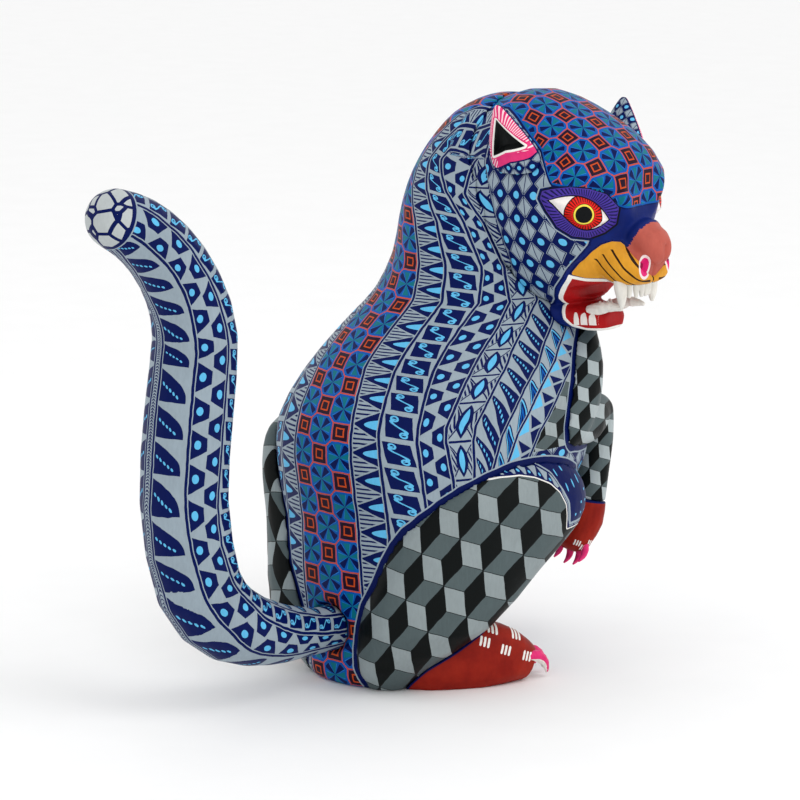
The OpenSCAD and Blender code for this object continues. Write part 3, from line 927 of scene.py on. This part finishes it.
CHEEK = ((-13.8, 16), (-9, 1), (-5.3, -12.4), (-3.5, -21.2), (-6, -29), (-8, -33.5), (0, -38), (4.5, -40),
         (8.4, -37), (12.3, -31.5), (16.6, -26.6), (19.3, -23), (23, -18.6), (26.8, -13.6), (30, -8),
         (30, 40), (-13.8, 40))
EYE = ((-17, 5.6), (-16, 9), (-11.8, 10), (-5.2, 10.8), (2.4, 10), (9.6, 7.6), (15.2, 1.6), (14.3, -5.2),
       (9.6, -8.5), (3.2, -10.5), (-4, -9.5), (-10.2, -5.5), (-14.4, 0.7))
# Half width of the nose, the crease behind the cheek and the first column of the cheek's lattice, by height
NOSE_H = (-27, -26, -24, -22, -18, -8)
NOSE_W = (0, 1.5, 5.5, 8.2, 9.8, 10)
CREASE_H = (-44, -40, -34, -29, -21, -12, 1, 16)
CREASE_S = (0, -4, -8, -6, -3.5, -5.3, -9, -13.8)
COLUMN_H = (-28, -20, -12, -3.5, 5.5, 15)
COLUMN_S = (7.1, 6.7, 5.2, 3.6, 2.9, 2.5)
# The almond of the eye: its middle from the pupil's, its tilt, half length, and how far its lids bow
ALMOND = (-1.25, 0.95)
ALMOND_COS, ALMOND_SIN = 0.948, 0.319
ALMOND_LENGTH = 12.6
UPPER_BOW, LOWER_BOW = 5.3, 5.8


def head_marks(co):
    """Distances to the painted zones of the head and the coordinates of the patterns in them."""
    s, w, h = head_frame(fnz(co))
    aw = np.abs(w)
    down = np.degrees(np.arctan2(aw, h))
    m = {"hs": s, "hw": aw, "hh": h}
    m["crest"] = np.radians(np.interp(s, CREST_S, CREST_A) - down) * np.hypot(aw, h)
    m["ex"] = (s - 26.8) * 0.745 - (aw - 26.3) * 0.667
    m["ey"] = h + 0.7
    m["eye"] = np.where(s > 5, outline(m["ex"], m["ey"], EYE), -9.0)
    m["muzzle"] = outline(s, h, MUZZLE)
    m["nose"] = np.minimum(outline(s, h, NOSE), np.interp(h, NOSE_H, NOSE_W) - aw)
    m["mouth"] = outline(s, h, MOUTH)
    m["cheek"] = outline(s, h, CHEEK) - smoothstep(9, 6, aw) * 20
    m["crease"] = s - np.interp(h, CREASE_H, CREASE_S)
    m["lx"] = (s - np.interp(h, COLUMN_H, COLUMN_S)) / 7.3 + 0.5
    m["ly"] = (h - 14.8) / 8.9 + 0.5
    return m


def lids(x, y):
    """How far a point of the eye is below its upper lid and above its lower one, in mm."""
    dx, dy = x - ALMOND[0], y - ALMOND[1]
    u = dx * ALMOND_COS - dy * ALMOND_SIN
    v = dx * ALMOND_SIN + dy * ALMOND_COS
    bow = 1.0 - (u / ALMOND_LENGTH) * (u / ALMOND_LENGTH)
    return bow * UPPER_BOW - v, v + bow * (u * 0.05 + 1.0) * LOWER_BOW


def relief(m):
    """How far the surface of the head rises, in mm, at the eyes, lids, lips, nose, crease and nostrils."""
    almond = np.where(m["hs"] > 12, np.minimum(*lids(m["ex"], m["ey"])), -9)
    h = m["hh"]
    lift = 1.5 * smoothstep(0, 4, almond) - 0.9 * ridge(almond, 0.8) * (m["eye"] > -1)
    lift -= 0.9 * ridge(m["eye"], 1.1)
    lift += 0.9 * ridge(m["eye"] + 4.0, 2.4) * smoothstep(-4, 4, m["ey"])
    lift -= 0.9 * ridge(m["muzzle"], 1.2) * smoothstep(-1, 1, -20 - h)
    lift -= 0.7 * ridge(m["nose"], 1.0) * smoothstep(-13, -17, h)
    lift += 0.8 * ridge(m["mouth"] - 0.3, 1.1)
    lift += 0.9 * ridge(m["nose"] + 1.2, 2.2) * smoothstep(-14, -9, h)
    lift -= 1.2 * ridge(m["crease"], 1.6) * smoothstep(18, 14, h)
    lift -= 1.8 * smoothstep(0.85, 0.3, m["nostril"]) * (m["nose"] > -2)
    lift -= 0.7 * ridge(m["hw"], 0.9) * (m["muzzle"] > 0) * (m["hs"] > 38)
    return lift


def eye_mat():
    g = Graph("eye_paint")
    x, y, d = g.attr("ex"), g.attr("ey"), g.attr("eye")
    turn = y.angle(x)
    upper, lower = lids(x, y)
    almond = upper.min(lower)
    hatch = ((turn * (58 / math.tau)).frac() < 0.42) & (almond < -1.0)
    out = g.mix(hatch & (d > 0.8), PURPLE, PATCH)
    out = g.mix(d < 0.45, out, BLACK)
    r = hyp(x, y)
    ticks = ((turn * (36 / math.tau)).frac() < 0.36) & (r > 4.6)
    iris = g.mix(ticks | (r > 7.1), RED, IRIS_DARK)
    iris = g.mix(r < 4.15, iris, BLACK)
    iris = g.mix(r < 3.9, iris, YELLOW)
    iris = g.mix(r < 3.2, iris, BLACK)
    ball = g.mix(r < 7.5, EYE_WHITE, iris)
    out = g.mix(almond > -0.5, out, BLACK)
    return finish_paint(g, g.mix(almond > 0.0, out, ball), 0.3)


def crest_mat():
    g = Graph("crest_squares")
    wx, wy = wobble(g, 0.03)
    d = g.attr("crest")
    out = squares(g, g.attr("sx") + wx, g.attr("sy") + wy)
    out = g.mix(d < 1.5, out, MID)
    return finish_paint(g, g.mix(d < 0.7, out, NAVY))


def cheek_mat():
    g = Graph("cheek_lattice")
    wx, wy = wobble(g, 0.03)
    out = lattice(g, g.attr("lx") + wx, g.attr("ly") + wy)
    d = g.attr("cheek")
    for other in ("crest", "eye", "muzzle"):
        d = d.min(0.0 - g.attr(other))
    out = borders(g, out, d, g.attr("crease"))
    return finish_paint(g, g.mix(g.attr("mouth") > -0.3, out, WHITE))


def bridge_mat():
    g = Graph("bridge_navy")
    out = g.mix(g.attr("eye") > -0.4, g.mottle(BRIDGE, 120), BLACK)
    return finish_paint(g, g.mix(g.attr("mouth") > -0.4, out, WHITE), 0.45)


def salmon(g):
    return g.mottle(SALMON, 100, 3.0, 0.6)


def nostril(g, out):
    for size, colour in zip((1.0, 0.76, 0.34), NOSTRIL):
        out = g.mix(g.attr("nostril") < size, out, colour)
    return out


def nose_mat():
    g = Graph("nose_salmon")
    return finish_paint(g, nostril(g, salmon(g)))


def muzzle_mat():
    """Ochre with four slanted whisker strokes on each side."""
    g = Graph("muzzle_ochre")
    wx, _ = wobble(g, 0.5, 160)
    s, w, h = g.attr("hs"), g.attr("hw"), g.attr("hh")
    out = g.mottle(OCHRE, 110, 3.0, 0.6)
    step = (s + h / 1.26 + wx - 9.7) / 4.4
    stroke = abs(step.frac() - 0.5) * 4.4
    count = step.floor()
    fall = h + count * -1.9 + 19.0
    within = (count > -0.5) & (count < 3.5) & (fall < 0.0) & (h > -29.4) & (w > 3.0)
    out = g.mix((stroke < 0.42) & within, out, WHISKER)
    out = g.mix((w < 0.45) & (h < -25.0), out, WHISKER)
    out = g.mix(g.attr("nose") > -0.5, out, salmon(g))
    out = g.mix(g.attr("muzzle") < 0.5, out, NAVY)
    out = nostril(g, g.mix(g.attr("mouth") > -0.3, out, WHITE))
    return finish_paint(g, out, 0.4)


def mouth_mat():
    """Red with painted back teeth low in the cheek, their top edge ragged."""
    g = Graph("mouth_red")
    s, h = g.attr("hs"), g.attr("hh")
    out = g.mottle(MOUTH_RED, 130, 3.0, 0.6)
    step = (s / 3.2).frac()
    top = (step * (1.0 - step)) * 10.0 - 44.5
    teeth = (h < top) & (s > 14.0) & (s < 23.0) & (h > -46.6) & (step > 0.18)
    out = g.mix(teeth, out, BACK_TEETH)
    return finish_paint(g, g.mix(g.attr("mouth") < 0.8, out, WHITE), 0.36)


head = remade("head_carving", "head", 0.65, 8)
snap(head, "head", "torso")
marks = head_marks(coords(head.data))
nose_top = smoothstep(4.5, 1.5, np.abs(marks["nose"] - 0.5)) * smoothstep(-17, -12, marks["hh"])
soften(head.data, 0.6 * nose_top, 26)
co = coords(head.data)
marks = head_marks(co)
far = head_frame(fnz(co))[1] < 0  # the far nostril sits a little further back and out
x = (marks["hs"] - 42.6 + far * 2.6) * 0.75 - (marks["hw"] - 6.9 - far * 1.8) * 0.66
marks["nostril"] = np.hypot(x / 2.7, (marks["hh"] + 22.2) / 4.8)
body_vals = body_paint(co)
marks.update(body_vals)
marks.update(cube_cells(fnz(co), SMALL_CUBES))
marks["near"] = np.full(len(co), 9.0)
set_coords(head.data, co + normals(head.data) * relief(marks)[:, None] * MM)
write(head.data, marks)
# the head's own zones, in the order that they cover each other
ZONES = (("crease", bridge_mat), ("cheek", cheek_mat), ("crest", crest_mat), ("eye", eye_mat),
         ("muzzle", muzzle_mat), ("nose", nose_mat), ("mouth", mouth_mat))
zone_fields = [(CHEST + 1 + k, marks[name]) for k, (name, _) in enumerate(ZONES)]
done(head, "head", "root", band_mats + [mat() for _, mat in ZONES],
     band_fields(body_vals) + zone_fields)

# ---------------------------------------------------------------- ears

# The root of each ear from the middle of the head, and the outline of its hollow: along and up from that root
EAR_ROOT = {1: (0, 31, 16), -1: (5.5, -31, 12.5)}
HOLLOW = ((-3.4, 21.3), (7.3, 10.7), (-0.2, 9.6), (-7.2, 6.2))
EAR_SPLAY = 0.4


def ear_front():
    g = Graph("ear_pink")
    d, run, up = g.attr("hollow"), g.attr("run"), g.attr("up")
    spoke = (g.attr("turn") * (54 / math.tau)).frac()
    tick = (spoke < 0.42) & (d < -1.2) & ((up > 9.0) | (run < -5.0))
    out = g.mix(tick, g.mottle(EAR_PINK, 160), EAR_TICK)
    out = g.mix(d > -0.75, out, WHITE)
    lobe = (d < -4.6) & (up < 9.0)
    weave = g.mix(d < -5.2, NAVY, lattice(g, run / 4.6 + 0.5, up / 5.2))
    out = g.mix(lobe, out, g.mix(g.attr("near") < 0.8, weave, NAVY))
    return finish_paint(g, g.mix(d > 0.0, out, g.mottle(EAR_DEEP, 200)))


def ear_back():
    g = Graph("ear_lattice")
    out = lattice(g, g.attr("run") / 4.0 + 0.5, g.attr("up") / 4.8)
    return finish_paint(g, g.mix((g.attr("face") > -0.9) | (g.attr("near") < 0.8), out, NAVY))


ear_mats = [ear_back(), ear_front()]
for side, word in ((1, "right"), (-1, "left")):
    o = remade(f"ear_{word}_carving", f"ear_{word}", 0.3, 5)
    co = coords(o.data)
    axis = side * EAR_SPLAY * ASIDE + np.array([0, 0, 1.0])
    axis /= np.linalg.norm(axis)
    out = np.cross(AHEAD, axis)
    out /= np.linalg.norm(out)
    ahead, aside, above = EAR_ROOT[side]
    d = fnz(co) - (HEAD + ahead * AHEAD + aside * ASIDE + np.array([0, 0, above]))
    run, face, up = d @ AHEAD, -side * (d @ out), d @ axis
    hollow = outline(run, up, HOLLOW)
    facing = smoothstep(0.3, 1.5, face)
    depth = np.interp(up, (6, 12, 18, 22), (3.4, 3.0, 1.8, 1.0)) * smoothstep(-0.3, 1.6, hollow) * facing
    depth -= 0.35 * ridge(hollow + 1.2, 0.8) * facing
    write(o.data, {"hollow": np.where(face > 0, hollow, -9), "run": run, "up": up, "face": face,
                   "turn": np.arctan2(up - 12, run + 1) + math.pi, "near": gap_to(co, ("head",), 2.0)})
    set_coords(o.data, co + side * framed(out) * depth[:, None] * MM)
    done(o, f"ear_{word}", f"ear_{word}", ear_mats, [(1, face)])

# ---------------------------------------------------------------- tail
# By the distance along the tail: the angles round it, in degrees from the figure's right, of the outer edge
# and of two lines further round.

TAIL_U = (0, 46, 60, 75, 95, 125, 180, 205, 226, 237)
TAIL_A0 = (84, 84, 82, 88, 93, 87, 88, 95, 82, 68)
TAIL_A1 = (36, 36, 30, 33, 40, 41, 38, 32, 30, 25)
TAIL_A2 = (0, -18, -24, -16, -4, -9, -12, -15, -24, -36)
# The bands from the outer edge round, with the length of one motif, and where the round cap starts
TAIL_BANDS = ((band_weave, 10), (band_sails, 13.6), (band_dots, 12.8), (band_scroll, 9.0), (band_leaves, 8.5))
CAP_START = 239.5


def evened(a):
    """A row of numbers smoothed by a running mean that keeps both ends."""
    return np.convolve(np.pad(a, 7, mode="reflect", reflect_type="odd"), np.ones(15) / 15, "valid")


def tail_paint(p):
    """Distance along the tail, and in mm round it from the hatched outer line, with the borders there."""
    step = np.r_[0, np.cumsum(np.linalg.norm(np.diff(TAIL, axis=0), axis=1))]
    run = np.linspace(0, step[-1], 240)
    c = np.stack([evened(np.interp(run, step, TAIL[:, i])) for i in range(3)], 1)
    t = np.gradient(c, axis=0)
    t /= np.linalg.norm(t, axis=1)[:, None]
    right = np.array([0, 1.0, 0]) - t * t[:, 1:2]
    right /= np.linalg.norm(right, axis=1)[:, None]
    back = np.cross(t, right)
    near = np.empty(len(p), int)
    batch = 4000
    for k in range(0, len(p), batch):
        q = p[k:k + batch]
        near[k:k + batch] = ((q[:, None, :] - c[None]) ** 2).sum(2).argmin(1)
    d = p - c[near]
    along = run[near] + (d * t[near]).sum(1)
    x, y = (d * right[near]).sum(1), (d * back[near]).sum(1)
    a0, a1, a2 = (np.interp(along, TAIL_U, a) for a in (TAIL_A0, TAIL_A1, TAIL_A2))
    mid = a0 + 9
    turn = np.abs((np.degrees(np.arctan2(y, x)) - mid + 180) % 360 - 180)
    mm = np.radians(1) * np.hypot(x, y)  # to a degree
    return {"tu": along, "ta": turn * mm, "t0": 7 * mm, "t1": (mid - a1) * mm, "t2": (mid - a2) * mm,
            "t3": (mid - a2 + 46) * mm}


def tail_mat(k):
    pattern, pitch = TAIL_BANDS[k]
    g = Graph(f"tail_band_{k}")
    wx, wy = wobble(g)
    a = g.attr("ta") + wx
    if k == 0:
        lo, hi = 0.0 - g.attr("t0"), g.attr("t0")
    elif k == 4:
        lo = g.attr("t3")
        hi = lo + 12.0
    else:
        lo, hi = g.attr(f"t{k - 1}"), g.attr(f"t{k}")
    q = (a - lo) / (hi - lo)
    out = borders(g, pattern(g, (g.attr("tu") + wy) / pitch, q), a - lo, hi - a)
    end = CAP_START - g.attr("tu")
    out = g.mix(end < 1.6, out, SILVER)
    return finish_paint(g, g.mix(end < 1.0, out, NAVY))


def cap_mat():
    g = Graph("tail_cap")
    n = g.node("ShaderNodeTexVoronoi", feature="DISTANCE_TO_EDGE")
    g.put(n.inputs["Vector"], g.place())
    n.inputs["Scale"].default_value = 135
    n.inputs["Randomness"].default_value = 0.75
    edge = V(g, n.outputs["Distance"])
    out = g.mix(edge < 0.08, g.mottle(CAP, 90), NAVY)
    return finish_paint(g, g.mix(g.attr("tu") < CAP_START + 0.7, out, NAVY))


tail = remade("tail_carving", "tail", 0.9, 8)
vals = tail_paint(fnz(coords(tail.data)))
write(tail.data, vals)
tail_fields = [(k + 1, vals["ta"] - vals[f"t{k}"]) for k in range(4)] + [(5, vals["tu"] - CAP_START)]
done(tail, "tail", "tail", [tail_mat(k) for k in range(5)] + [cap_mat()], tail_fields)

# ---------------------------------------------------------------- dowels and floor


def wood_mat():
    g = Graph("turned_wood")
    grain = g.noise(420, 4.0, 0.65, g.stretched(1, 0.12, 1))
    pores = g.noise(2200, 2.0, 0.5, g.stretched(1, 0.1, 1))
    colour = g.mix(grain, *WOOD)
    return finish_paint(g, g.mix(pores > 0.66, colour, PORE), 0.55)


def floor_mat():
    g = Graph("floor")
    g.put(g.bsdf.inputs["Base Color"], g.mottle(FLOOR, 30))
    g.bsdf.inputs["Roughness"].default_value = 0.7
    return g.mat


wood = wood_mat()
for name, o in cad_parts.items():
    if "dowel" in name:
        o.data.materials.clear()
        o.data.materials.append(wood)

FLOOR_HALF = 6
verts = [(x, y, 0.0) for y in (-FLOOR_HALF, FLOOR_HALF) for x in (-FLOOR_HALF, FLOOR_HALF)]
mesh = bpy.data.meshes.new("floor")
mesh.from_pydata(verts, [], [(0, 1, 3, 2)])
mesh.materials.append(floor_mat())
floor = placed("floor", mesh)
